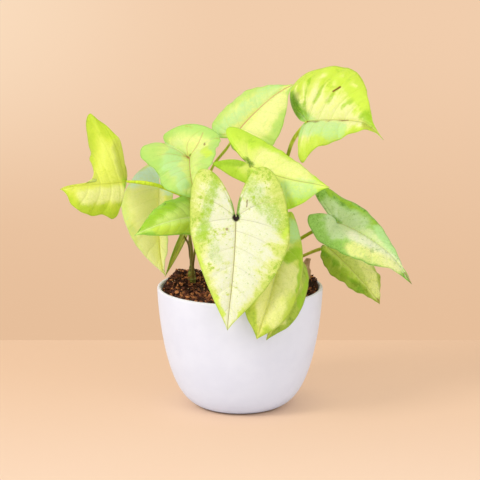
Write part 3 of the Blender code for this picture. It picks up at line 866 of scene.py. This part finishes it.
def blade_material(name, look, lines, under=False):
    """A syngonium blade: thin, soft leaf tissue under a faintly waxy skin.

    The heart is pale where it lacks chlorophyll, and greens towards the margin through streaks that
    follow the veins. Veins lie in shallow grooves, with a fine net between them.
    """
    material, shader, add = new_material(
        ("leaf_underside_" if under else "leaf_skin_") + name, IOR=1.42, Specular_IOR_Level=0.32,
        Subsurface_Weight=0.5, Subsurface_Scale=1.5 * MM, Subsurface_Radius=(1.0, 1.0, 0.4),
    )
    signed, along, _ = add("SeparateXYZ", add("UVMap", uv_map="blade")).node.outputs
    sizes = add("Attribute", output="Vector", attribute_name="sizes")
    from_rib, from_edge, row = add("SeparateXYZ", sizes).node.outputs
    across = add("ABSOLUTE", signed)
    place = millimetres(add)
    seed = sum(map(ord, name)) * 0.1
    # Lumps of 18, 3.4 and 1 mm, and streaks: noise drawn out along the rows, so that it runs from
    # the midrib to the margin.
    rows = add("CombineXYZ", add("MULTIPLY", along, 24.0), add("MULTIPLY", signed, 1.6))
    patch = add("noise", place, 1 / 18, 3.0, 0.55, seed)
    mottle = add("noise", place, 1 / 3.4, 5.0, 0.68, seed)
    fine = add("noise", place, 1.0, 4.0, 0.65, seed)
    streak = add("noise", rows, 1.0, 4.0, 0.62, seed)
    patch_swing, mottle_swing, fine_swing, streak_swing = (
        add("SUBTRACT", lumps, 0.5) for lumps in (patch, mottle, fine, streak)
    )

    # How green the tissue is, from 0 at the heart to 1.
    reach = weighed(add, across, (streak_swing, look.streak), (patch_swing, 0.7))
    green = add("MULTIPLY", add("step", reach, 0.75 - look.margin, 1.25 - look.margin), 0.75)
    flecks = add("MULTIPLY", add("step", mottle, 0.50, 0.66), add("step", patch, 0.42, 0.62))
    green = weighed(add, green, (flecks, 0.55 * look.mottle), (fine_swing, 0.5 * look.mottle))
    ramp = add("ValToRGB", green)
    set_stops(ramp, look.heart, look.deep, (0.3, look.mid), (0.68, look.edge))
    base = patched(add, ramp, mottle_swing, fine_swing)

    # Side veins, as a distance in millimetres: each bends towards the tip on its way out.
    bent = weighed(add, along, (add("POWER", across, 2.0), -VEIN_BEND))
    phase = add("PINGPONG", add("MULTIPLY", bent, VEINS), 0.5)
    to_vein = add("MULTIPLY", add("DIVIDE", phase, VEINS), row)
    vein = add("MULTIPLY", add("step", to_vein, 0.40, 0.15), add("step", across, 0.95, 0.3))
    near_joint = add("MULTIPLY_ADD", add("step", along, 0.62, 0.25), 0.6, 0.4)
    rib_width = add("MULTIPLY_ADD", along, -0.35, 0.7)
    midrib = add("step", add("DIVIDE", from_rib, rib_width), 1.0, 0.55)
    net = add("step", add("cells", place, 1 / 2.6), 0.10, 0.02)
    cells = add("noise", place, 1 / 1.8, 4.0, 0.7, seed + 9.0)
    specks = add("noise", place, 1 / 1.5, 3.0, 0.6, seed + 21.0)
    for tone, mask, share in (
        (look.deep, flecks, 0.34 * look.mottle),
        (look.mid, add("step", from_rib, 1.6, 0.5), 0.35),
        (look.edge, net, 0.16),
        (look.vein, add("MULTIPLY", vein, near_joint), look.vein_strength),
        (look.rib, midrib, look.rib_strength),
        (look.deep, add("step", from_edge, 1.3, 0.3), 0.4),
        # Small darker and lighter cells of tissue.
        (look.edge, add("step", cells, 0.45, 0.75), 0.28),
        (look.deep, add("step", specks, 0.60, 0.70), 0.4 * look.mottle),
    ):
        base = tinted(add, base, tone, mask, share)
    if under:
        base = add("mix", 0.3, base, colour("#dbe9ae"))
    else:
        base = lined(add, base, place, lines, mottle_swing, fine_swing)
    out = 1.0 if under else -1.0
    vein_groove, rib_groove = add("step", to_vein, 1.5, 0.0), add("step", from_rib, 2.0, 0.0)
    height = weighed(
        add, 0.0,
        (vein_groove, out), (rib_groove, 1.4 * out), (net, 0.3 * out), (mottle, 0.9), (fine, 0.25),
    )
    roughness = add("MULTIPLY_ADD", mottle, 0.22, 0.55 if under else 0.36)
    finish_shader(add, shader, base, roughness, height, depth_mm=0.3, strength=0.7)
    return material


def make_blades():
    for name, leaf in LEAVES.items():
        finish = FINISHES[name]
        seed = (len(name) * 0.37) % 1.0
        halves = {
            half_name: blade_half(leaf, side, finish, seed + shift)
            for half_name, side, shift in zip(("right", "left"), leaf.halves, (0.0, 0.41))
        }
        lines = placed(halves, LINES.get(name, ()))
        look = LOOKS[finish.look]
        skins = [blade_material(name, look, lines, under) for under in (False, True)]
        make_blade(name, halves, skins)


# ---------------------------------------------------------------- stalks and crown stems


def tube(name, points, radii):
    """A round tube along a smooth curve through these points, closed at both ends."""
    curve = bpy.data.curves.new(name, "CURVE")
    curve.dimensions = "3D"
    curve.bevel_depth = 1.0 * MM
    curve.bevel_resolution = 3
    curve.use_fill_caps = True
    path = through(points)
    length = np.linalg.norm(np.diff(path[0], axis=0), axis=1).sum()
    shares = np.linspace(0, 1, max(8, round(length / TUBE_STEP)))
    places = read(path, shares)
    widths = np.interp(shares, np.linspace(0, 1, len(radii)), radii)
    spline = curve.splines.new("POLY")
    spline.points.add(len(places) - 1)
    for point, place, radius in zip(spline.points, places, widths):
        point.co = (*(place * MM), 1.0)
        point.radius = radius
    drawn = new_object(name, curve)
    graph = bpy.context.evaluated_depsgraph_get()
    mesh = bpy.data.meshes.new_from_object(drawn.evaluated_get(graph))
    bpy.data.objects.remove(drawn, do_unlink=True)
    work = bmesh.new()
    work.from_mesh(mesh)
    bmesh.ops.remove_doubles(work, verts=work.verts, dist=0.01 * MM)
    bmesh.ops.recalc_face_normals(work, faces=work.faces)
    bpy.data.meshes.remove(mesh)
    return work


def stalk_material(name, skin):
    """A leaf stalk: smooth, slightly waxy, streaked lengthwise, its colour changing with height."""
    material, shader, add = new_material(
        "stalk_skin_" + name, IOR=1.42, Specular_IOR_Level=0.35,
        Subsurface_Weight=0.2, Subsurface_Scale=1.5 * MM, Subsurface_Radius=(1.0, 1.0, 0.35),
    )
    place = millimetres(add)
    runs = add("noise", add("stretch", place, (1.0, 1.0, 0.12)), 1 / 1.6, 3.0, 0.55)
    pores = add("noise", place, 1 / 0.6, 2.0, 0.55)
    blotch = add("noise", place, 1 / 9, 3.0, 0.55)
    height = add("MULTIPLY_ADD", blotch, 6.0, add("SeparateXYZ", place, output=2))
    change = add("step", height, skin.low + 3.0, skin.high + 3.0)
    base = add("mix", change, colour(skin.lower), colour(skin.upper))
    base = tinted(add, base, "#86900a", add("step", runs, 0.4, 0.7), 0.4)
    base = tinted(add, base, "#7a5a30", add("step", height, 106.0, 94.0), 0.6)
    base = tinted(add, base, "#f0f4c0", add("step", pores, 0.62, 0.72), 0.12)
    roughness = add("MULTIPLY_ADD", pores, 0.15, 0.34)
    relief = weighed(add, runs, (pores, 0.2))
    finish_shader(add, shader, base, roughness, relief, depth_mm=0.15, strength=0.4)
    return material


def make_stalks():
    for name, (crown, route) in STALKS.items():
        *axis, radius = CROWNS[crown]
        skin = SKINS.get(name, PLAIN_SKIN)
        # Each stalk leaves its crown stem on the side to which it leans.
        bend = np.array(route[0][:2])
        foot = axis + FOOT_SPREAD * radius * unit(bend - axis)
        rise = foot + RISE_SHARE * (bend - foot)
        joint = tuple(LEAVES[name].joint)
        points = [(*foot, FOOT_HEIGHT), (*rise, RISE_HEIGHT), *route, joint]
        work = tube("stalk_" + name, points, [skin.girth * width for width in STALK_RADII])
        skins = [stalk_material(name, skin)]
        place_mesh("petiole_" + name, work, skins, "stalk_green", "stalk_" + name)


def turned(profile, steps):
    """A bmesh spun round Z from (radius, height) points that start and end on the axis."""
    work = bmesh.new()
    ring = [work.verts.new((radius * MM, 0.0, height * MM)) for radius, height in profile]
    edges = [work.edges.new(pair) for pair in zip(ring, ring[1:])]
    bmesh.ops.spin(
        work, geom=ring + edges, cent=(0, 0, 0), axis=(0, 0, 1), dvec=(0, 0, 0),
        angle=2 * math.pi, steps=steps, use_merge=True,
    )
    bmesh.ops.remove_doubles(work, verts=work.verts, dist=0.005 * MM)
    bmesh.ops.recalc_face_normals(work, faces=work.faces)
    return work


def crown_material():
    """A crown stem: firm green stem, ringed with old leaf scars and browned near the mix."""
    material, shader, add = new_material("crown_stem_bark", Roughness=0.6, IOR=1.45)
    place = millimetres(add)
    height = add("SeparateXYZ", place, output=2)
    rough = add("noise", place, 1 / 1.4, 4.0, 0.65)
    rings = add("PINGPONG", add("DIVIDE", height, SCAR_STEP), 0.5)
    blotch = add("noise", place, 1 / 5, 3.0, 0.55)
    base = add("mix", add("step", rough, 0.38, 0.62), colour("#98a02c"), colour("#6b6a1e"))
    base = tinted(add, base, "#8a5226", add("step", blotch, 0.52, 0.62))
    base = tinted(add, base, "#4a3a1c", add("step", height, 95.0, 87.0), 0.7)
    base = tinted(add, base, "#a89a62", add("step", rings, 0.12, 0.02), 0.6)
    relief = weighed(add, add("step", rings, 0.16, 0.0), (rough, 0.6))
    finish_shader(add, shader, base, None, relief, depth_mm=0.4, strength=0.8)
    return material


def make_crowns():
    bark = crown_material()
    for name, (x, y, radius) in CROWNS.items():
        heights = np.linspace(STEM_LOW, STEM_HIGH, 30)
        bumps = 1 + 0.07 * np.cos(2 * np.pi * heights / SCAR_STEP)
        taper = np.interp(heights, (STEM_LOW, 88, 96, STEM_HIGH), (1.0, 0.95, 0.72, 0.42))
        outside = zip(radius * bumps * taper, heights)
        work = turned([(0.0, STEM_LOW), *outside, (0.0, STEM_HIGH + 0.6)], steps=28)
        for vertex in work.verts:
            lump = noise.noise(Vector(vertex.co) / (4.0 * MM) + Vector((x, y, 0)))
            vertex.co.x *= 1 + 0.12 * lump
            vertex.co.y *= 1 + 0.12 * lump
        bmesh.ops.translate(work, verts=work.verts, vec=(x * MM, y * MM, 0))
        place_mesh("stem_" + name, work, [bark], "crown_green", "crown_" + name)


def make_dry_sheath():
    """The papery brown sheath that a lost leaf left standing in the mix."""
    material, shader, add = new_material("dry_papery_sheath", Roughness=0.8, IOR=1.45)
    place = millimetres(add)
    fibres = add("noise", add("stretch", place, (1.0, 1.0, 0.15)), 1 / 0.8, 4.0, 0.65)
    base = add("mix", add("step", fibres, 0.3, 0.7), colour("#b07a4a"), colour("#ecc49c"))
    base = tinted(add, base, "#6a4a24", add("step", add("SeparateXYZ", place, output=2), 97.0, 88.0))
    finish_shader(add, shader, base, None, fibres, depth_mm=0.4, strength=0.9)
    work = tube("dried_sheath", SHEATH, SHEATH_RADII)
    work.normal_update()
    for vertex in work.verts:
        vertex.co += vertex.normal * 0.9 * MM * noise.noise(Vector(vertex.co) / (1.2 * MM))
    place_mesh("papery_sheath", work, [material], "dry_brown", "dried_sheath")


# ---------------------------------------------------------------- pot


def bowl_radius(bowl, height):
    """Radius of a bowl that rounds out quickly from its bottom to an upright wall at the rim."""
    fall = max(0.0, (POT_HEIGHT - height) / (POT_HEIGHT - bowl.bottom))
    return bowl.radius * max(0.0, 1 - fall**bowl.roundness) ** bowl.squareness


def wall_points(bowl, low, high, count, gap=0.0):
    """Points up a bowl's wall, this gap inside it and closer together low down, where it bends."""
    heights = [low + (high - low) * (part / count) ** 1.8 for part in range(count + 1)]
    return [(bowl_radius(bowl, height) - gap, height) for height in heights]


def pot_profile():
    lip = WALL / 2
    lip_height = POT_HEIGHT - lip
    lip_centre = RIM_RADIUS - lip
    inside = wall_points(INSIDE, FLOOR + 0.2, lip_height, 40)
    arc = [
        (lip_centre + lip * math.cos(angle), lip_height + lip * math.sin(angle))
        for angle in np.linspace(math.pi, 0, 11)[1:-1]
    ]
    outside = wall_points(OUTSIDE, BASE_EDGE, lip_height, 70)
    edge = outside[0][0]
    base = [(edge - 0.3, 0.2), (edge - 0.7, 0.05), (edge - 1.2, 0.0), (0.0, 0.0)]
    return [(0.0, FLOOR), *inside, *arc, *reversed(outside), *base]


def make_pot():
    """Slip-cast stoneware under a matt white glaze.

    The glaze has a very fine orange peel and a few pinholes, thins on the lip and stops at the
    unglazed base. A lighter, warmer band on the lip is a painted highlight, and the base is painted
    dark as a contact shadow.
    """
    material, shader, add = new_material(
        "matt_white_glaze", Roughness=0.5, IOR=1.5, Specular_IOR_Level=0.4
    )
    place = millimetres(add)
    height = add("SeparateXYZ", place, output=2)
    cloud = add("noise", place, 1 / 26, 3.0, 0.55)
    peel = add("noise", place, 1 / 1.6, 2.0, 0.55)
    specks = add("noise", place, 1 / 0.9, 1.0, 0.55)
    base = add("mix", add("step", cloud, 0.35, 0.65), colour("#f0eef5"), colour("#ebe9f1"))
    base = tinted(add, base, "#b9aea6", add("step", specks, 0.74, 0.80), 0.25)
    # Painted highlight: the top of the lip is lighter and warmer.
    base = tinted(add, base, "#fbf8f5", add("step", height, 90.2, 91.8), 0.35)
    # The unglazed base, painted dark brown as the pot's contact shadow.
    base = tinted(add, base, "#8f735c", add("step", height, 0.9, 0.4))
    roughness = add("MULTIPLY_ADD", peel, 0.16, 0.40)
    finish_shader(add, shader, base, roughness, peel, depth_mm=0.05, strength=0.6)
    place_mesh("glazed_pot", turned(pot_profile(), steps=160), [material], "glazed_white", "pot")


# ---------------------------------------------------------------- potting mix


def mix_height(x, y):
    """How high the mix stands at a place, in millimetres."""
    lift = 0.7 * math.sin(0.23 * x + 1.0) * math.cos(0.19 * y) - 0.7
    for (heap_x, heap_y), height, spread in HEAPS:
        distance = ((x - heap_x) ** 2 + (y - heap_y) ** 2) / spread**2
        lift += height * math.exp(-distance)
    lift += 0.9 * noise.noise(Vector((x, y, 0)) / 5.0) + 0.5 * noise.noise(Vector((x, y, 7)) / 2.0)
    return SOIL_TOP + lift


def mix_material():
    """Damp coco and fine bark: dark brown crumbs with redder broken faces."""
    material, shader, add = new_material("damp_bark_mix", Roughness=0.85, IOR=1.45)
    shade = add("Attribute", output="Fac", attribute_name="shade")
    crumbs = add("noise", millimetres(add), 1 / 1.3, 4.0, 0.65)
    ramp = add("ValToRGB", weighed(add, add("SUBTRACT", shade, 0.22), (crumbs, 0.45)))
    set_stops(ramp, "#2a120a", "#d98a50", (0.5, "#6b3520"))
    finish_shader(add, shader, ramp, None, crumbs, depth_mm=0.5, strength=1.0)
    return material


def speck_material():
    """Grains of slow-release feed and pale fibre ends: dull cream, slightly glossy."""
    material, shader, add = new_material("cream_grains", Roughness=0.5, IOR=1.45)
    crumbs = add("noise", millimetres(add), 1 / 0.8, 2.0, 0.55)
    base = add("mix", add("step", crumbs, 0.35, 0.65), colour("#e9cfae"), colour("#b98a5a"))
    finish_shader(add, shader, base, None, crumbs, depth_mm=0.2, strength=0.6)
    return material


def make_mix_body(material):
    """The body of the mix: its lumpy top and the side that lies against the pot."""
    edge = bowl_radius(INSIDE, SOIL_TOP - 3) - 0.3
    side = wall_points(INSIDE, FLOOR + 1.2, SOIL_TOP - 4.0, 20, gap=0.5)
    top = [(edge * part / 60, SOIL_TOP) for part in range(60, -1, -1)]
    work = turned([(0.0, FLOOR + 1.0), *side, *top], steps=200)
    shade = work.verts.layers.float.new("shade")
    for vertex in work.verts:
        vertex[shade] = 0.1
        if vertex.co.z > (SOIL_TOP - 0.5) * MM:
            vertex.co.z = (mix_height(vertex.co.x / MM, vertex.co.y / MM) - 0.6) * MM
    place_mesh("mix_body", work, [material], "potting_mix", "soil")


def strew(count, sizes, flatness, dice):
    """A mesh of small irregular grains strewn over the mix, each a coarse ball squashed and turned.

    They are made in batches, because a bmesh slows down as it fills.
    """
    whole = bmesh.new()
    for first in range(0, count, CHIP_BATCH):
        work = bmesh.new()
        shade = work.verts.layers.float.new("shade")
        for _ in range(min(CHIP_BATCH, count - first)):
            reach = STREWN_RADIUS * math.sqrt(dice.random())
            angle = 2 * math.pi * dice.random()
            x, y = reach * math.cos(angle), reach * math.sin(angle)
            size = sizes[0] + (sizes[1] - sizes[0]) * dice.random() ** 2.2
            flat = flatness[0] + (flatness[1] - flatness[0]) * dice.random()
            ball = bmesh.ops.create_icosphere(work, subdivisions=1, radius=0.5 * size * MM)["verts"]
            tone = dice.random() ** 1.6
            for vertex in ball:
                vertex.co *= 0.75 + 0.5 * dice.random()
                vertex[shade] = tone
            turn = Matrix.Rotation(2 * math.pi * dice.random(), 4, "Z")
            for axis in "XY":
                turn @= Matrix.Rotation(dice.gauss(0, 0.5), 4, axis)
            turn @= Matrix.Diagonal((1.0 + 0.9 * dice.random(), 1.0, flat, 1.0))
            height = mix_height(x, y) + size * flat * (0.1 + 0.35 * dice.random()) - 0.4
            place = Matrix.Translation((x * MM, y * MM, height * MM))
            bmesh.ops.transform(work, verts=ball, matrix=place @ turn)
            if reach + 0.7 * size > MIX_RADIUS:
                bmesh.ops.delete(work, geom=ball, context="VERTS")
        batch = mesh_from(work, "batch", smooth=False)
        whole.from_mesh(batch)
        bpy.data.meshes.remove(batch)
    return whole


def make_mix():
    dice = random.Random(7)
    material = mix_material()
    make_mix_body(material)
    chips = strew(count=6600, sizes=(0.8, 3.3), flatness=(0.3, 0.8), dice=dice)
    place_mesh("bark_chips", chips, [material], "potting_mix", smooth=False)
    grains = strew(count=260, sizes=(0.7, 1.5), flatness=(0.6, 1.0), dice=dice)
    place_mesh("cream_grains", grains, [speck_material()], "potting_mix")


# ---------------------------------------------------------------- stage, light and camera


def seen_rays(add):
    """1 for rays that show a surface to the camera, directly, in a reflection or through glass."""
    path = add("LightPath").node.outputs
    seen = add("MAXIMUM", path["Is Camera Ray"], path["Is Glossy Ray"])
    return add("MAXIMUM", seen, path["Is Transmission Ray"])


def make_table():
    """A plain pale peach table whose far edge lies a little behind the pot.

    What it reflects on to the object is a neutral grey, so that it tints nothing.
    """
    material, shader, add = new_material("painted_peach_board", Roughness=0.75, IOR=1.45)
    place = millimetres(add)
    soft = add("noise", place, 1 / 300, 2.0, 0.55)
    # Painted light: the board is lighter towards the front and darker towards its far edge.
    near = add("step", add("SeparateXYZ", place, output=1), TABLE_FAR / MM, -420.0)
    base = add("mix", near, colour("#f2caa6"), colour("#fee2c8"))
    base = tinted(add, base, "#f4cfae", add("step", soft, 0.4, 0.7), 0.2)
    seen = seen_rays(add)
    shown = add("mix", seen, colour("#e2e0e2"), base)
    grit = add("noise", place, 1 / 0.6, 2.0, 0.55)
    finish_shader(add, shader, shown, None, grit, depth_mm=0.05, strength=0.3)
    # Part of what the camera sees glows, so that its shadow is as faint as a studio's,
    # and only close to the pot as dark as it falls.
    glow = add("Emission", add("mix", 0.25, base, colour("#f0c08c")), 1.0)
    from_pot = add("length", place)
    share = add("MULTIPLY", add("MULTIPLY", seen, 0.42), add("step", from_pot, 34.0, 80.0))
    blend = add("MixShader", share, shader.outputs[0], glow)
    tree = material.node_tree
    tree.links.new(blend, tree.nodes["Material Output"].inputs["Surface"])
    work = bmesh.new()
    bmesh.ops.create_cube(work, size=1.0)
    bmesh.ops.scale(work, verts=work.verts, vec=TABLE_SIZE)
    middle = (0, TABLE_FAR - TABLE_SIZE[1] / 2, -TABLE_SIZE[2] / 2)
    bmesh.ops.translate(work, verts=work.verts, vec=middle)
    bmesh.ops.bevel(
        work, geom=work.edges[:], offset=0.001, segments=2, profile=0.5, affect="EDGES", material=-1
    )
    table = new_object("table", mesh_from(work, "table", smooth=False))
    table.data.materials.append(material)


def make_world():
    """Even soft light from all round, and a peach wall for the camera and reflections, with painted
    light on it.
    """
    world = bpy.data.worlds.new("studio")
    bpy.context.scene.world = world
    world.use_nodes = True
    tree = world.node_tree
    tree.nodes.clear()
    add = partial(add_node, tree)
    x, _, z = add("SeparateXYZ", add("TexCoord", output="Generated")).node.outputs
    # Painted light on the wall: lighter towards the top, and a brighter pool at the upper left.
    wall = add("mix", add("step", z, -0.25, -0.09), colour("#e7bf9b"), colour("#f1cdac"))
    glow = add("MULTIPLY", add("step", x, 0.0, -0.14), add("step", z, -0.2, -0.08))
    seen = add("Background", add("mix", glow, wall, colour("#fadcbd")), 1.0)
    light = add("Background", colour("#fdfdff"), 0.74)
    blend = add("MixShader", seen_rays(add), light, seen)
    tree.links.new(blend, tree.nodes.new("ShaderNodeOutputWorld").inputs["Surface"])


def area_light(name, place, size, power, tint):
    lamp = bpy.data.lights.new(name, "AREA")
    lamp.shape = "SQUARE"
    lamp.size = size
    lamp.energy = power
    lamp.color = colour(tint)[:3]
    thing = new_object(name, lamp)
    thing.location = place
    thing.rotation_euler = (Vector(LIGHT_AIM) - Vector(place)).to_track_quat("-Z", "Y").to_euler()


def make_lights():
    area_light("key_softbox", (-1.5, -1.15, 1.5), size=0.8, power=23.0, tint="#fffefb")
    area_light("fill_softbox", (1.3, -1.6, 1.1), size=1.4, power=8.0, tint="#fffdfb")


def make_camera():
    camera = bpy.data.cameras.new("camera")
    camera.lens = 147.8
    camera.sensor_width = 36.0
    thing = new_object("camera", camera)
    thing.location = (0.0, -1.45, 0.429)
    thing.rotation_euler = (math.radians(78.24), 0.0, 0.0)
    bpy.context.scene.camera = thing


def main():
    noise.seed_set(NOISE_SEED)
    make_camera()
    make_lights()
    make_world()
    make_table()
    make_pot()
    make_mix()
    make_crowns()
    make_dry_sheath()
    make_stalks()
    make_blades()
    bpy.context.scene.view_settings.view_transform = "Standard"


main()
